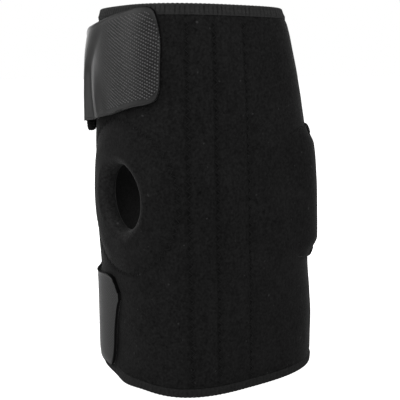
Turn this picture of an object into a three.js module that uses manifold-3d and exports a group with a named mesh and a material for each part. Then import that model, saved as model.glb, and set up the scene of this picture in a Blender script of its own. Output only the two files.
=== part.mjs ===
// Open-patella knee support of black neoprene, closed as it is worn and standing on its lower rim.
// Millimetres, +Z up, kneecap side towards -Y, the side with the stay channels towards +X.

import * as THREE from "three";
import { mergeVertices } from "three/addons/utils/BufferGeometryUtils.js";
import Module from "manifold-3d";

// Leg form: the sleeve's outside at equal steps of height, as a rounded square round the leg axis.
// The bindings draw both rims in.
const HEIGHT = 280;
const LEG_AXIS = { x: 3.2, y: -3.5 };
const SQUARENESS = 2.85;
const SECTIONS = [
  { side: 70.0, front: 70.0, back: 91.0 },
  { side: 70.0, front: 70.1, back: 91.1 },
  { side: 70.0, front: 70.3, back: 90.6 },
  { side: 70.0, front: 70.6, back: 88.5 },
  { side: 69.9, front: 71.2, back: 86.4 },
  { side: 69.7, front: 72.5, back: 86.0 },
  { side: 69.3, front: 73.7, back: 86.0 },
  { side: 68.8, front: 74.6, back: 85.5 },
  { side: 68.2, front: 74.9, back: 84.4 },
  { side: 67.4, front: 74.5, back: 82.3 },
  { side: 66.4, front: 74.1, back: 79.2 },
  { side: 65.2, front: 74.1, back: 75.0 },
  { side: 63.9, front: 73.9, back: 69.9 },
  { side: 62.6, front: 73.1, back: 64.0 },
  { side: 61.3, front: 72.0, back: 57.2 },
];
const DRAWN_IN = { top: 2.6, bottom: 1, reach: 13 };

// Neoprene, tape and the clearance that neighbouring pieces keep.
const WALL = 4;
const TAPE = 0.9;
const HOOK_TAPE = 2.2;
const GAP = 0.35;

// The wrap: one sheet from its tucked inner end round the leg to its outer end, in degrees of turn.
// Each stretch runs to the seam that ends it, and a stay channel is puffed between its two seams.
const INNER_END = -118;
const STRETCHES = [
  { to: -96, columns: 4, puff: 0 },
  { to: -20, columns: 15, puff: 0 },
  { to: 53, columns: 15, puff: 0 },
  { to: 67.5, columns: 4, puff: 1.3 },
  { to: 89, columns: 5, puff: 1.3 },
  { to: 262, columns: 30, puff: 0 },
];
const OUTER_END = STRETCHES.at(-1).to;
const SLEEVE_ROWS = 12;
const CHANNEL_FADE = { from: 8, to: 24 };
const LAP_LIFT = WALL + TAPE + 2 * GAP;
const LAP_RISE = { from: 205, to: 240 };

// Rims: the wall stops inside the fold of the binding.
const CROWN = 1.4;
const TOP_BINDING_WIDTH = 8;
const BOTTOM_BINDING_WIDTH = 5.5;
const TUCKED_COLUMNS = STRETCHES[0].columns;

// Kneecap hole and the padded ring sewn round it, on the unrolled front of the sleeve. The hole is
// tightest at its throat, widens to a rolled mouth outside, and a little towards the leg. The ring's
// padding stands out mainly towards the leg.
const HOLE = { along: 8, height: 142.5, throat: 24.5, lip: 26.5, mouth: 31, inside: 28 };
const HOLE_DEPTH = { throat: -4, lip: -0.8, mouth: 1.7, cut: 12 };
const RING = { radius: 57, shoulder: 53, pad: 44, seam: -0.35, rise: 0.85, lift: 1.4 };
const RING_BACK = { pad: 36, edge: 48, depth: -8.4 };
const ROUND_SIDES = 36;

// Pad behind the knee: a rounded oblong centred on the back, whose ends curl off the sleeve.
const BACK_PANEL = { turn: 180, halfLength: 57, bottom: 92, top: 189, corner: 18, thick: 4.4, edge: 3.6 };
const PANEL_CURL = { middle: 0.6, top: 2.4, bottom: 4.2, power: 4 };
const PANEL_EDGE_POWER = 8;
const PANEL_COLUMNS = 22;
const PANEL_ROWS = 6;

// Straps and tabs: distance along the sleeve from the front centre line, edges and inside face, and
// how far the upper ones lean back to the sleeve towards the top.
const UPPER_WING = [
  { along: -132, bottom: 200, top: 263, lift: 1.6, lean: 0 },
  { along: -95, bottom: 199, top: 262, lift: 1.6, lean: 0 },
  { along: -65, bottom: 198, top: 261, lift: 1.8, lean: 0.4 },
  { along: -40, bottom: 196.5, top: 260, lift: 2.8, lean: 1.4 },
  { along: -22, bottom: 193, top: 260, lift: 4.1, lean: 2.7 },
  { along: -11, bottom: 191.5, top: 259, lift: 4.1, lean: 2.7 },
  { along: -7.5, bottom: 194, top: 257, lift: 4.1, lean: 2.7 },
  { along: -6, bottom: 200, top: 250, lift: 4.1, lean: 2.7 },
];
const UPPER_TAB = [
  { along: -76, bottom: 201, top: 258, lift: 6.2, lean: 0.2 },
  { along: -56, bottom: 200, top: 259, lift: 6.6, lean: 0.6 },
  { along: -40, bottom: 199, top: 260, lift: 7.4, lean: 1.4 },
  { along: -26, bottom: 197, top: 262, lift: 8.5, lean: 2.6 },
  { along: -14, bottom: 198.5, top: 266, lift: 8.9, lean: 2.7 },
  { along: -3, bottom: 200.5, top: 269.5, lift: 8.5, lean: 2.6 },
  { along: 8, bottom: 203.5, top: 272.5, lift: 5.2, lean: 1.2 },
  { along: 20, bottom: 207, top: 275, lift: 2.2, lean: 0.2 },
  { along: 32, bottom: 210, top: 277, lift: 1.8, lean: 0 },
  { along: 39.5, bottom: 212, top: 276.3, lift: 1.8, lean: 0 },
  { along: 44, bottom: 214.5, top: 272.5, lift: 1.8, lean: 0 },
  { along: 46.8, bottom: 219.5, top: 265.5, lift: 1.8, lean: 0 },
  { along: 48.4, bottom: 226.5, top: 257.5, lift: 1.8, lean: 0 },
  { along: 49, bottom: 236, top: 248, lift: 1.8, lean: 0 },
];
const LOWER_WING = [
  { along: -136, bottom: 9, top: 77, lift: 1.6, lean: 0 },
  { along: -112, bottom: 9, top: 77, lift: 1.6, lean: 0 },
  { along: -90, bottom: 9, top: 77, lift: 1.6, lean: 0 },
  { along: -75, bottom: 11, top: 75, lift: 1.6, lean: 0 },
  { along: -70, bottom: 18, top: 68, lift: 1.6, lean: 0 },
];
const LOWER_TAB = [
  { along: -98, bottom: 12, top: 74, lift: 6.0, lean: 0 },
  { along: -84, bottom: 10.5, top: 75, lift: 6.0, lean: 0 },
  { along: -75, bottom: 9.5, top: 75.5, lift: 6.1, lean: 0 },
  { along: -69, bottom: 8.8, top: 75.7, lift: 5.5, lean: 0 },
  { along: -62, bottom: 8, top: 76, lift: 2.6, lean: 0 },
  { along: -54, bottom: 7.5, top: 76.2, lift: 1.4, lean: 0 },
  { along: -44, bottom: 7, top: 76.6, lift: 1.1, lean: 0 },
  { along: -32, bottom: 6.6, top: 77.6, lift: 0.9, lean: 0 },
  { along: -20, bottom: 6.4, top: 79.5, lift: 0.8, lean: 0 },
  { along: -13, bottom: 8, top: 80, lift: 0.8, lean: 0 },
  { along: -8, bottom: 23, top: 79, lift: 0.8, lean: 0 },
  { along: -4.5, bottom: 42, top: 77, lift: 0.8, lean: 0 },
  { along: 0, bottom: 56, top: 73, lift: 0.8, lean: 0 },
  { along: 3, bottom: 63, top: 68, lift: 0.8, lean: 0 },
];
const LEAN = { from: 230, to: 264 };
const STEPS_PER_ROW = 3;
const WING_ROWS = 4;
const TAB_ROWS = 5;
const FULL_TURN = 360;
const WING_SEAM = 0.3;
const WING_ROOT = OUTER_END + WING_SEAM - FULL_TURN;

const wasm = await Module();
wasm.setup();

const { clamp, degToRad, lerp, smoothstep } = THREE.MathUtils;

// A row of a table at a whole or broken place in it, passing smoothly through its neighbours.
function rowAt(table, place) {
  const last = table.length - 1;
  const first = clamp(Math.floor(place), 0, last - 1);
  const share = place - first;
  const [before, start, end, after] = [-1, 0, 1, 2].map((step) => table[clamp(first + step, 0, last)]);
  const row = {};
  for (const column of Object.keys(start)) {
    const slopeIn = (end[column] - before[column]) / 2;
    const slopeOut = (after[column] - start[column]) / 2;
    const rise = end[column] - start[column];
    const bend = (slopeIn - rise) * (1 - share) - (slopeOut - rise) * share;
    row[column] = start[column] + share * (rise + bend * (1 - share));
  }
  return row;
}

// How far a rim is drawn in by its binding, at one height.
function drawnIn(height) {
  const top = 1 - smoothstep(HEIGHT - height, 0, DRAWN_IN.reach);
  const bottom = 1 - smoothstep(height, 0, DRAWN_IN.reach);
  return DRAWN_IN.top * top + DRAWN_IN.bottom * bottom;
}

// A point on the sleeve's outside at a turn about the leg axis, or off it by some millimetres.
function legPoint(turn, height, lift) {
  const offset = lift - drawnIn(height);
  const section = rowAt(SECTIONS, (height / HEIGHT) * (SECTIONS.length - 1));
  const across = Math.sin(degToRad(turn));
  const back = -Math.cos(degToRad(turn));
  const depth = back < 0 ? section.front : section.back;
  const reach = Math.abs(across / section.side) ** SQUARENESS + Math.abs(back / depth) ** SQUARENESS;
  const radius = reach ** (-1 / SQUARENESS);
  const normal = new THREE.Vector2(
    (Math.sign(across) * Math.abs(across / section.side) ** (SQUARENESS - 1)) / section.side,
    (Math.sign(back) * Math.abs(back / depth) ** (SQUARENESS - 1)) / depth,
  ).normalize();
  return new THREE.Vector3(
    LEG_AXIS.x + across * radius + normal.x * offset,
    LEG_AXIS.y + back * radius + normal.y * offset,
    height,
  );
}

// The turn that lies a distance along the sleeve, at one height, from the front or another start.
function turnAt(along, height, start = 0) {
  const step = Math.sign(along);
  let turn = start;
  let left = Math.abs(along);
  let from = legPoint(start, height, 0);
  while (left > 0) {
    const to = legPoint(turn + step, height, 0);
    const stride = from.distanceTo(to);
    turn += step * Math.min(1, left / stride);
    left -= stride;
    from = to;
  }
  return turn;
}

// Moves every corner of a closed geometry, and welds the corners that faces share.
function shaped(geometry, place) {
  geometry.deleteAttribute("normal");
  geometry.deleteAttribute("uv");
  const welded = mergeVertices(geometry);
  const corners = welded.attributes.position;
  const corner = new THREE.Vector3();
  for (let index = 0; index < corners.count; index++) {
    corner.fromBufferAttribute(corners, index);
    corners.setXYZ(index, ...place(corner).toArray());
  }
  return welded;
}

function solid(geometry) {
  const mesh = new wasm.Mesh({
    numProp: 3,
    vertProperties: new Float32Array(geometry.attributes.position.array),
    triVerts: new Uint32Array(geometry.index.array),
  });
  return new wasm.Manifold(mesh);
}

function geometryOf(body) {
  const { vertProperties, triVerts } = body.getMesh();
  const geometry = new THREE.BufferGeometry();
  geometry.setAttribute("position", new THREE.BufferAttribute(vertProperties, 3));
  geometry.setIndex(new THREE.BufferAttribute(triVerts, 1));
  return geometry;
}

// How far the outer end of the wrap is lifted to lie over the tucked inner end.
function lapLift(turn) {
  return LAP_LIFT * smoothstep(turn, LAP_RISE.from, LAP_RISE.to);
}

// The columns of the wrap from end to end: each one's turn and how far a stay puffs it out.
function wrapColumns() {
  const columns = [{ turn: INNER_END, puff: 0 }];
  let from = INNER_END;
  for (const stretch of STRETCHES) {
    for (let step = 1; step <= stretch.columns; step++) {
      const share = step / stretch.columns;
      const puff = 4 * stretch.puff * share * (1 - share);
      columns.push({ turn: lerp(from, stretch.to, share), puff });
    }
    from = stretch.to;
  }
  return columns;
}

// The heights of the wrap's rows: its two rims, the edges of their bindings and even steps between.
function wrapRows() {
  const rows = [CROWN];
  for (let row = 0; row <= SLEEVE_ROWS; row++) {
    rows.push(lerp(BOTTOM_BINDING_WIDTH, HEIGHT - TOP_BINDING_WIDTH, row / SLEEVE_ROWS));
  }
  rows.push(HEIGHT - CROWN);
  return rows;
}

function sleeveSheet() {
  const columns = wrapColumns();
  const rows = wrapRows();
  const lastColumn = columns.length - 1;
  const lastRow = rows.length - 1;
  const sheet = new THREE.BoxGeometry(1, 1, 1, lastColumn, lastRow, 1);
  return shaped(sheet, ({ x, y, z }) => {
    const { turn, puff } = columns[Math.round((x + 0.5) * lastColumn)];
    const height = rows[Math.round((y + 0.5) * lastRow)];
    const fade = smoothstep(Math.min(height, HEIGHT - height), CHANNEL_FADE.from, CHANNEL_FADE.to);
    const offset = z > 0 ? puff * fade : -WALL;
    return legPoint(turn, height, offset + lapLift(turn));
  });
}

// A turned shape laid on the front of the sleeve, with its axis through the middle of the kneecap hole.
function onKneecap(profile) {
  const points = profile.map(([radius, offset]) => new THREE.Vector2(radius, offset));
  const turned = new THREE.LatheGeometry(points, ROUND_SIDES);
  return shaped(turned, ({ x, y, z }) => {
    const height = HOLE.height - z;
    return legPoint(turnAt(HOLE.along + x, height), height, y);
  });
}

function sleeve() {
  const ring = onKneecap([
    [0, RING_BACK.depth],
    [RING_BACK.pad, RING_BACK.depth],
    [RING_BACK.edge, -WALL / 2],
    [RING.radius, -WALL / 2],
    [RING.radius, RING.seam],
    [RING.shoulder, RING.rise],
    [RING.pad, RING.lift],
    [0, RING.lift],
  ]);
  const hole = onKneecap([
    [0, -HOLE_DEPTH.cut],
    [HOLE.inside, -HOLE_DEPTH.cut],
    [HOLE.throat, HOLE_DEPTH.throat],
    [HOLE.lip, HOLE_DEPTH.lip],
    [HOLE.mouth, HOLE_DEPTH.mouth],
    [HOLE.mouth, HOLE_DEPTH.cut],
    [0, HOLE_DEPTH.cut],
  ]);
  return geometryOf(solid(sleeveSheet()).add(solid(ring)).subtract(solid(hole)));
}

// Tape folded over a rim: rise is measured from the rim towards the middle of the sleeve.
function binding(width, rimHeight, inward) {
  const outside = GAP + TAPE;
  const inside = -WALL - GAP - TAPE;
  const fold = new THREE.Shape(
    [
      [outside, width],
      [outside, TAPE],
      [outside - TAPE, 0],
      [inside + TAPE, 0],
      [inside, TAPE],
      [inside, width],
      [inside + TAPE, width],
      [inside + TAPE, CROWN - GAP],
      [outside - TAPE, CROWN - GAP],
      [outside - TAPE, width],
    ].map(([offset, rise]) => new THREE.Vector2(offset, rise)),
  );
  const columns = wrapColumns().slice(TUCKED_COLUMNS);
  const steps = columns.length - 1;
  const run = new THREE.ExtrudeGeometry(fold, { depth: steps, steps, bevelEnabled: false });
  return shaped(run, ({ x, y, z }) => {
    const { turn } = columns[Math.round(inward > 0 ? steps - z : z)];
    return legPoint(turn, rimHeight + inward * y, x + lapLift(turn));
  });
}

// A strip of cloth or tape laid along the sleeve, shaped by the rows of its table.
function strip(table, rows, thickness) {
  const columns = (table.length - 1) * STEPS_PER_ROW;
  const sheet = new THREE.BoxGeometry(1, 1, 1, columns, rows, 1);
  return shaped(sheet, ({ x, y, z }) => {
    const row = rowAt(table, (x + 0.5) * (table.length - 1));
    const height = lerp(row.bottom, row.top, y + 0.5);
    const inside = row.lift - row.lean * smoothstep(height, LEAN.from, LEAN.to);
    const turn = Math.max(turnAt(row.along, height), WING_ROOT);
    return legPoint(turn, height, inside + (z > 0 ? thickness : 0));
  });
}

function backPanel() {
  const { halfLength, corner, bottom, top, thick, edge } = BACK_PANEL;
  const sheet = new THREE.BoxGeometry(2, 2, 1, PANEL_COLUMNS, PANEL_ROWS, 1);
  return shaped(sheet, ({ x, y, z }) => {
    const along = halfLength * Math.sin((x * Math.PI) / 2);
    const intoCorner = Math.max(0, corner - halfLength + Math.abs(along));
    const inset = corner - Math.sqrt(corner ** 2 - intoCorner ** 2);
    const height = lerp(bottom + inset, top - inset, (y + 1) / 2);
    const turn = turnAt(along, height, BACK_PANEL.turn);
    const end = lerp(PANEL_CURL.bottom, PANEL_CURL.top, (y + 1) / 2);
    const lift = lerp(PANEL_CURL.middle, end, x ** PANEL_CURL.power);
    const thickness = lerp(thick, edge, Math.max(Math.abs(x), Math.abs(y)) ** PANEL_EDGE_POWER);
    return legPoint(turn, height, lapLift(turn) + lift + (z > 0 ? thickness : 0));
  });
}

const NEOPRENE = { color: 0x1c1c1e, roughness: 0.92, metalness: 0 };
const BINDING_TAPE = { color: 0x29292b, roughness: 0.85, metalness: 0 };
const HOOK_CLOTH = { color: 0x4c4d4e, roughness: 0.7, metalness: 0 };

function piece(name, geometry, finish) {
  geometry.computeVertexNormals();
  const mesh = new THREE.Mesh(geometry, new THREE.MeshStandardMaterial(finish));
  mesh.name = name;
  return mesh;
}

const kneeSupport = new THREE.Group();
kneeSupport.add(
  piece("sleeve", sleeve(), NEOPRENE),
  piece("top_binding", binding(TOP_BINDING_WIDTH, HEIGHT, -1), BINDING_TAPE),
  piece("bottom_binding", binding(BOTTOM_BINDING_WIDTH, 0, 1), BINDING_TAPE),
  piece("back_panel", backPanel(), NEOPRENE),
  piece("upper_wing", strip(UPPER_WING, WING_ROWS, WALL), NEOPRENE),
  piece("upper_tab", strip(UPPER_TAB, TAB_ROWS, HOOK_TAPE), HOOK_CLOTH),
  piece("lower_wing", strip(LOWER_WING, WING_ROWS, WALL), NEOPRENE),
  piece("lower_tab", strip(LOWER_TAB, TAB_ROWS, HOOK_TAPE), HOOK_CLOTH),
);

export default kneeSupport;
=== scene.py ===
"""Wrap-round knee support of black neoprene with grey hook tapes, closed and standing on its lower rim."""

import math

import bmesh
import bpy
import numpy as np
from mathutils import Matrix, Vector, noise


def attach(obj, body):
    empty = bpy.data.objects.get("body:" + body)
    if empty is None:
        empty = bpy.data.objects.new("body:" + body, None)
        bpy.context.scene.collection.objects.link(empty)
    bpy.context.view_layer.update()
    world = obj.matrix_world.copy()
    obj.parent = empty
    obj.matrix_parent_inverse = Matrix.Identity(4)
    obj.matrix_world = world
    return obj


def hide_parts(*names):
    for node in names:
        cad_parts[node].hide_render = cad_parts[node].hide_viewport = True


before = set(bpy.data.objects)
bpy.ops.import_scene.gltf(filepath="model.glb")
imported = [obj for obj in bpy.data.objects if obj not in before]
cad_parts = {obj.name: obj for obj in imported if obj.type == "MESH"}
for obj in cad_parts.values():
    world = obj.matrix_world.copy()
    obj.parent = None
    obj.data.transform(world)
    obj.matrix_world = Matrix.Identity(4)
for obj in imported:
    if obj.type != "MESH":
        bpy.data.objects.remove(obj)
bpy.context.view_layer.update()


# The sleeve is one sheet of black neoprene foam, 4 mm thick and faced with nylon jersey on both sides.
# It wraps once round the leg, and its outer end laps the tucked inner end. Two stay channels are sewn
# into it on the outer side, and a padded ring is sewn round the open kneecap hole at the front.
MM = 0.001
HEIGHT = 280.0
LEG_AXIS = (3.2, -3.5)
SQUARENESS = 2.85
LEG_SECTIONS = np.array([  # side, front and back reach of the outside, at equal steps of height
    (70.0, 70.0, 91.0),
    (70.0, 70.1, 91.1),
    (70.0, 70.3, 90.6),
    (70.0, 70.6, 88.5),
    (69.9, 71.2, 86.4),
    (69.7, 72.5, 86.0),
    (69.3, 73.7, 86.0),
    (68.8, 74.6, 85.5),
    (68.2, 74.9, 84.4),
    (67.4, 74.5, 82.3),
    (66.4, 74.1, 79.2),
    (65.2, 74.1, 75.0),
    (63.9, 73.9, 69.9),
    (62.6, 73.1, 64.0),
    (61.3, 72.0, 57.2),
])
TOP_DRAWN_IN, BOTTOM_DRAWN_IN, DRAWN_REACH = 2.6, 1.0, 13.0  # the bindings draw both rims in
FLARE, FLARE_REACH, FLARE_TURN, FLARE_SPREAD = 4.0, 14.0, 13.0, 16.0  # the lower rim bulges at the front
RISE, RISE_TURN, RISE_SPREAD = 1.4, 23.0, 11.0  # beside the bulge it stands just clear of the floor
WALL = 4.0
RIM = 1.4  # the sheet stops this far inside the fold of its bindings
INNER_END, OUTER_END = -118.0, 262.0  # degrees of turn: 0 at the front, 90 on the side of the channels
LAP_LIFT, LAP_FROM, LAP_TO = 5.6, 205.0, 240.0  # the outer end rises to lie over the tucked one
STAY_SEAMS = (52.7, 68.2, 89.9)  # degrees of turn at half height
SEAM_LEAN, LEAN_START, LEAN_END = 0.019, (30.0, 48.0), (96.0, 116.0)  # they run down towards the back
CHANNEL_PUFF, PUFF_FULLNESS = 1.3, 0.7
SEAM_DEPTH, SEAM_WIDTH, SEAM_PITCH, SEAM_PUCKER = 0.5, 2.4, 6.4, 0.2
HOLE_ALONG, HOLE_HEIGHT, HOLE_RADIUS = 8.0, 142.5, 24.5
HOLE_ROLL, HOLE_DIP = 8.0, 8.8  # the rolled mouth: how far it reaches out, and how deep it turns in
HOLE_TUCK, HOLE_TURN_IN = 5.0, 1.4  # the same on the leg side
RING_RADIUS, RING_PAD, RING_LIFT, RING_GROOVE = 57.0, 44.0, 1.4, 0.35
RING_BACK_PAD, RING_BACK_EDGE, RING_BACK = 36.0, 48.0, 7.2  # the padding towards the leg
CREASES = np.array([  # along, height, half length, half width, slant in degrees, depth
    (50.0, 82.0, 20.0, 4.0, 25.0, 0.7),
    (103.0, 207.0, 16.0, 4.0, -35.0, 0.6),
    (159.0, 74.0, 22.0, 5.0, 15.0, 0.7),
    (-30.0, 178.0, 18.0, 5.0, 40.0, 0.5),
    (225.0, 150.0, 24.0, 6.0, -20.0, 0.6),
])
CREASE_MIDDLE, CREASE_BEAT = 0.6, 1.6  # each crease is shallower along its middle line
WAVE_SIZES = ((52.0, 0.75), (19.0, 0.3))  # length and height of the soft unevenness of worn neoprene
PUFF_FADE, SEAM_FADE, WAVE_FADE = (8.0, 24.0), (6.0, 12.0), (8.0, 30.0)  # how far from a rim each sets in


def smooth(value, start, end):
    share = np.clip((value - start) / (end - start), 0, 1)
    return share * share * (3 - 2 * share)


def bell(value, middle, spread):
    return np.exp(-(((value - middle) / spread) ** 2))


def row_at(table, place):
    """Rows of a table at whole or broken places in it, passing smoothly through their neighbours."""
    last = len(table) - 1
    first = np.clip(np.floor(place).astype(int), 0, last - 1)
    share = (place - first)[..., None]
    before, start, end, after = (table[np.clip(first + step, 0, last)] for step in (-1, 0, 1, 2))
    rise = end - start
    bend = ((end - before) / 2 - rise) * (1 - share) - ((after - start) / 2 - rise) * share
    return start + share * (rise + bend * (1 - share))


def leg_point(turn, height, lift):
    """Points on the sleeve's outside at a turn about the leg axis, or off it by some millimetres."""
    turn, height, lift = np.broadcast_arrays(turn, height, np.asarray(lift, float))
    offset = lift - TOP_DRAWN_IN * (1 - smooth(HEIGHT - height, 0, DRAWN_REACH))
    offset = offset - BOTTOM_DRAWN_IN * (1 - smooth(height, 0, DRAWN_REACH))
    near_floor = 1 - smooth(height, 0, FLARE_REACH)
    offset = offset + FLARE * bell(turn, FLARE_TURN, FLARE_SPREAD) * near_floor
    rise = RISE * bell(turn, RISE_TURN, RISE_SPREAD) * near_floor
    section = row_at(LEG_SECTIONS, height / HEIGHT * (len(LEG_SECTIONS) - 1))
    across, rearward = np.sin(np.radians(turn)), -np.cos(np.radians(turn))
    side, depth = section[..., 0], np.where(rearward < 0, section[..., 1], section[..., 2])
    wide, deep = np.abs(across / side), np.abs(rearward / depth)
    radius = (wide**SQUARENESS + deep**SQUARENESS) ** (-1 / SQUARENESS)
    out_x = np.sign(across) * wide ** (SQUARENESS - 1) / side
    out_y = np.sign(rearward) * deep ** (SQUARENESS - 1) / depth
    length = np.hypot(out_x, out_y)
    x = LEG_AXIS[0] + across * radius + out_x / length * offset
    y = LEG_AXIS[1] + rearward * radius + out_y / length * offset
    return np.stack([x, y, height + rise], axis=-1)


TURNS = np.arange(-200.0, 341.0)  # degrees, past both ends of the sheet
LEVELS = np.arange(HEIGHT + 1)
ring_points = leg_point(TURNS[None, :], LEVELS[:, None], 0.0)
strides = np.linalg.norm(np.diff(ring_points, axis=1), axis=2)
REACH = np.concatenate([np.zeros((len(LEVELS), 1)), np.cumsum(strides, axis=1)], axis=1)
REACH -= REACH[:, TURNS == 0]


def by_level(value, height, xs, ys):
    """Looks values up in tables that are kept for each millimetre of height."""
    value, height = np.broadcast_arrays(np.asarray(value, float), np.asarray(height, float))
    level = np.clip(np.floor(height), 0, HEIGHT - 1).astype(int)
    found = np.empty(value.shape)
    for low in np.unique(level):
        here = level == low
        below, above = (np.interp(value[here], xs(step), ys(step)) for step in (low, low + 1))
        found[here] = below + (above - below) * (height[here] - low)
    return found


def turn_at(along, height):
    """The turn that lies a distance along the sleeve from the front centre line."""
    return by_level(along, height, lambda level: REACH[level], lambda level: TURNS)


def along_at(turn, height):
    return by_level(turn, height, lambda level: TURNS, lambda level: REACH[level])


def seam_lean(height):
    return SEAM_LEAN * (HEIGHT / 2 - height)


def seam_lines(height):
    """How far along the sleeve each stay seam lies at these heights."""
    return [along_at(seam, height) + seam_lean(height) for seam in STAY_SEAMS]


def lap_lift(turn):
    return LAP_LIFT * smooth(turn, LAP_FROM, LAP_TO)


def turned_in(radius, reach):
    """How far the hole's mouth has turned in: 0 at this reach outside the hole, and 1 at its edge."""
    share = np.clip((HOLE_RADIUS + reach - radius) / reach, 0, 1)
    return 1 - np.sqrt(1 - share * share)


def sleeve_relief(along, height):
    """How far the sleeve's face stands off its plain form: puffed channels, sewn seams, ring and mouth."""
    from_rim = np.minimum(height, HEIGHT - height)
    puff = CHANNEL_PUFF * smooth(from_rim, *PUFF_FADE)
    lift = np.zeros(len(along))
    seams = seam_lines(height)
    for start, end in zip(seams[:-1], seams[1:]):
        share = np.clip((along - start) / (end - start), 0, 1)
        lift += puff * (4 * share * (1 - share)) ** PUFF_FULLNESS
    pucker = 1 - SEAM_PUCKER + SEAM_PUCKER * np.cos(2 * np.pi * height / SEAM_PITCH)
    depth = SEAM_DEPTH * smooth(from_rim, *SEAM_FADE) * pucker
    for seam in seams:
        lift -= depth * bell(along, seam, SEAM_WIDTH)
    radius = np.hypot(along - HOLE_ALONG, height - HOLE_HEIGHT)
    lift += RING_LIFT * (1 - smooth(radius, RING_PAD, RING_RADIUS))
    lift -= RING_GROOVE * bell(radius, RING_RADIUS, SEAM_WIDTH)
    return lift - HOLE_DIP * turned_in(radius, HOLE_ROLL)


def waviness(spots):
    """Soft unevenness at points in millimetres, the same on both faces of the wall."""
    total = np.zeros(len(spots))
    for length, height in WAVE_SIZES:
        total += [height * noise.noise(Vector(spot) / length) for spot in spots]
    return total


def creases(along, height):
    total = np.zeros(len(along))
    for middle, level, length, width, slant, depth in CREASES:
        cos, sin = math.cos(math.radians(slant)), math.sin(math.radians(slant))
        run = ((along - middle) * cos + (height - level) * sin) / length
        side = ((height - level) * cos - (along - middle) * sin) / width
        fold = 1 - CREASE_MIDDLE * np.cos(side * CREASE_BEAT)
        total -= depth * np.exp(-run * run - side * side) * fold
    return total


def sleeve_wave(turn, along, height):
    """The sleeve's unevenness and creases, which die out towards its bound rims."""
    wave = waviness(leg_point(turn, height, 0.0)) + creases(along, height)
    return wave * smooth(np.minimum(height, HEIGHT - height), *WAVE_FADE)


def flat_cloth(columns, rows, cut_out=None):
    """A flat pattern, one unit a cell, with its leg side at z 0 and its face side at z 1."""
    bm = bmesh.new()
    bmesh.ops.create_grid(bm, x_segments=columns, y_segments=rows, size=0.5)
    bmesh.ops.translate(bm, vec=(0.5, 0.5, 0), verts=bm.verts)
    bmesh.ops.scale(bm, vec=(columns, rows, 1), verts=bm.verts)
    if cut_out:
        waste = [face for face in bm.faces if cut_out(face.calc_center_median())]
        bmesh.ops.delete(bm, geom=waste, context="FACES")
    made = bmesh.ops.extrude_face_region(bm, geom=bm.faces[:], use_keep_orig=True)["geom"]
    face_side = [part for part in made if isinstance(part, bmesh.types.BMVert)]
    bmesh.ops.translate(bm, vec=(0, 0, 1), verts=face_side)
    bmesh.ops.recalc_face_normals(bm, faces=bm.faces)
    return bm


def linked(name, data):
    made = bpy.data.objects.new(name, data)
    bpy.context.scene.collection.objects.link(made)
    return made


def placed(name, mesh, material):
    """Makes a piece of a finished mesh. It is part of the one rigid body."""
    mesh.shade_smooth()
    mesh.materials.append(material)
    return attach(linked(name, mesh), "root")


def sewn_on(name, bm, place, material, mask="seam", edge=0.0, second=None, second_sides=()):
    """Bends a flat pattern round the leg. place gives each corner's turn, height, offset and mask.

    A second material goes on the faces that touch these sides: (0,) is the leg side, (0, 1) the cut edge.
    """
    column, row, side = np.array([vertex.co for vertex in bm.verts]).round().astype(int).T
    turn, height, offset, marked = place(column, row, side == 1)
    spots = leg_point(turn, height, offset)
    cloth_x = along_at(turn, height) * MM
    bm.verts.index_update()
    marks = bm.verts.layers.float.new(mask)
    for vertex, spot, mark in zip(bm.verts, spots * MM, marked):
        vertex.co = spot
        vertex[marks] = mark
    cloth = bm.loops.layers.uv.new("cloth")
    for face in bm.faces:
        face.material_index = int({side[vertex.index] for vertex in face.verts} == set(second_sides))
        for loop in face.loops:
            loop[cloth].uv = (cloth_x[loop.vert.index], height[loop.vert.index] * MM)
    if edge:
        corner = math.radians(50)
        sharp = [line for line in bm.edges if line.calc_face_angle(0) > corner]
        bmesh.ops.bevel(bm, geom=sharp, offset=edge * MM, segments=2, profile=0.5,
                        affect="EDGES", material=-1)
    mesh = bpy.data.meshes.new(name)
    bm.to_mesh(mesh)
    bm.free()
    piece = placed(name, mesh, material)
    if second:
        mesh.materials.append(second)
    return piece


def grey(level):
    return level, level, level, 1


def shader_node(tree, kind, inputs=None, **settings):
    """Adds a node; an input is another node's output socket or a plain value."""
    made = tree.nodes.new(kind)
    for key, value in settings.items():
        setattr(made, key, value)
    for key, value in (inputs or {}).items():
        if isinstance(value, bpy.types.NodeSocket):
            tree.links.new(value, made.inputs[key])
        else:
            made.inputs[key].default_value = value
    return made


def bare_material(name, sockets):
    """A material of one shader, with these values on the shader's own sockets."""
    material = bpy.data.materials.new(name)
    material.use_nodes = True
    shader = material.node_tree.nodes["Principled BSDF"]
    for socket, value in sockets.items():
        shader.inputs[socket].default_value = value
    return material, material.node_tree, shader


def cloth_material(name, roughness, sheen, specular, sheen_roughness=0.25):
    """A bare material, with the cloth's own UV map in metres."""
    material, tree, shader = bare_material(name, {
        "Roughness": roughness, "Specular IOR Level": specular,
        "Sheen Weight": sheen, "Sheen Roughness": sheen_roughness,
    })
    uv = shader_node(tree, "ShaderNodeUVMap", uv_map="cloth")
    return material, tree, shader, uv.outputs["UV"]


def object_place(tree):
    return shader_node(tree, "ShaderNodeTexCoord").outputs["Object"]


def mask_value(tree, name):
    return shader_node(tree, "ShaderNodeAttribute", attribute_name=name).outputs["Fac"]


def color_mix(tree, factor, first, second, blend="MIX"):
    mixed = shader_node(tree, "ShaderNodeMix", {0: factor, 6: first, 7: second},
                        data_type="RGBA", blend_type=blend)
    return mixed.outputs[2]


def value_math(tree, operation, first, second=0.0, third=0.0):
    made = shader_node(tree, "ShaderNodeMath", {0: first, 1: second, 2: third}, operation=operation)
    return made.outputs[0]


def ranged(tree, value, start, end, low=0.0):
    """Rises from low to 1 while the value goes from start to end."""
    made = shader_node(tree, "ShaderNodeMapRange", {
        "Value": value, "From Min": start, "From Max": end, "To Min": low,
    })
    return made.outputs["Result"]


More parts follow.
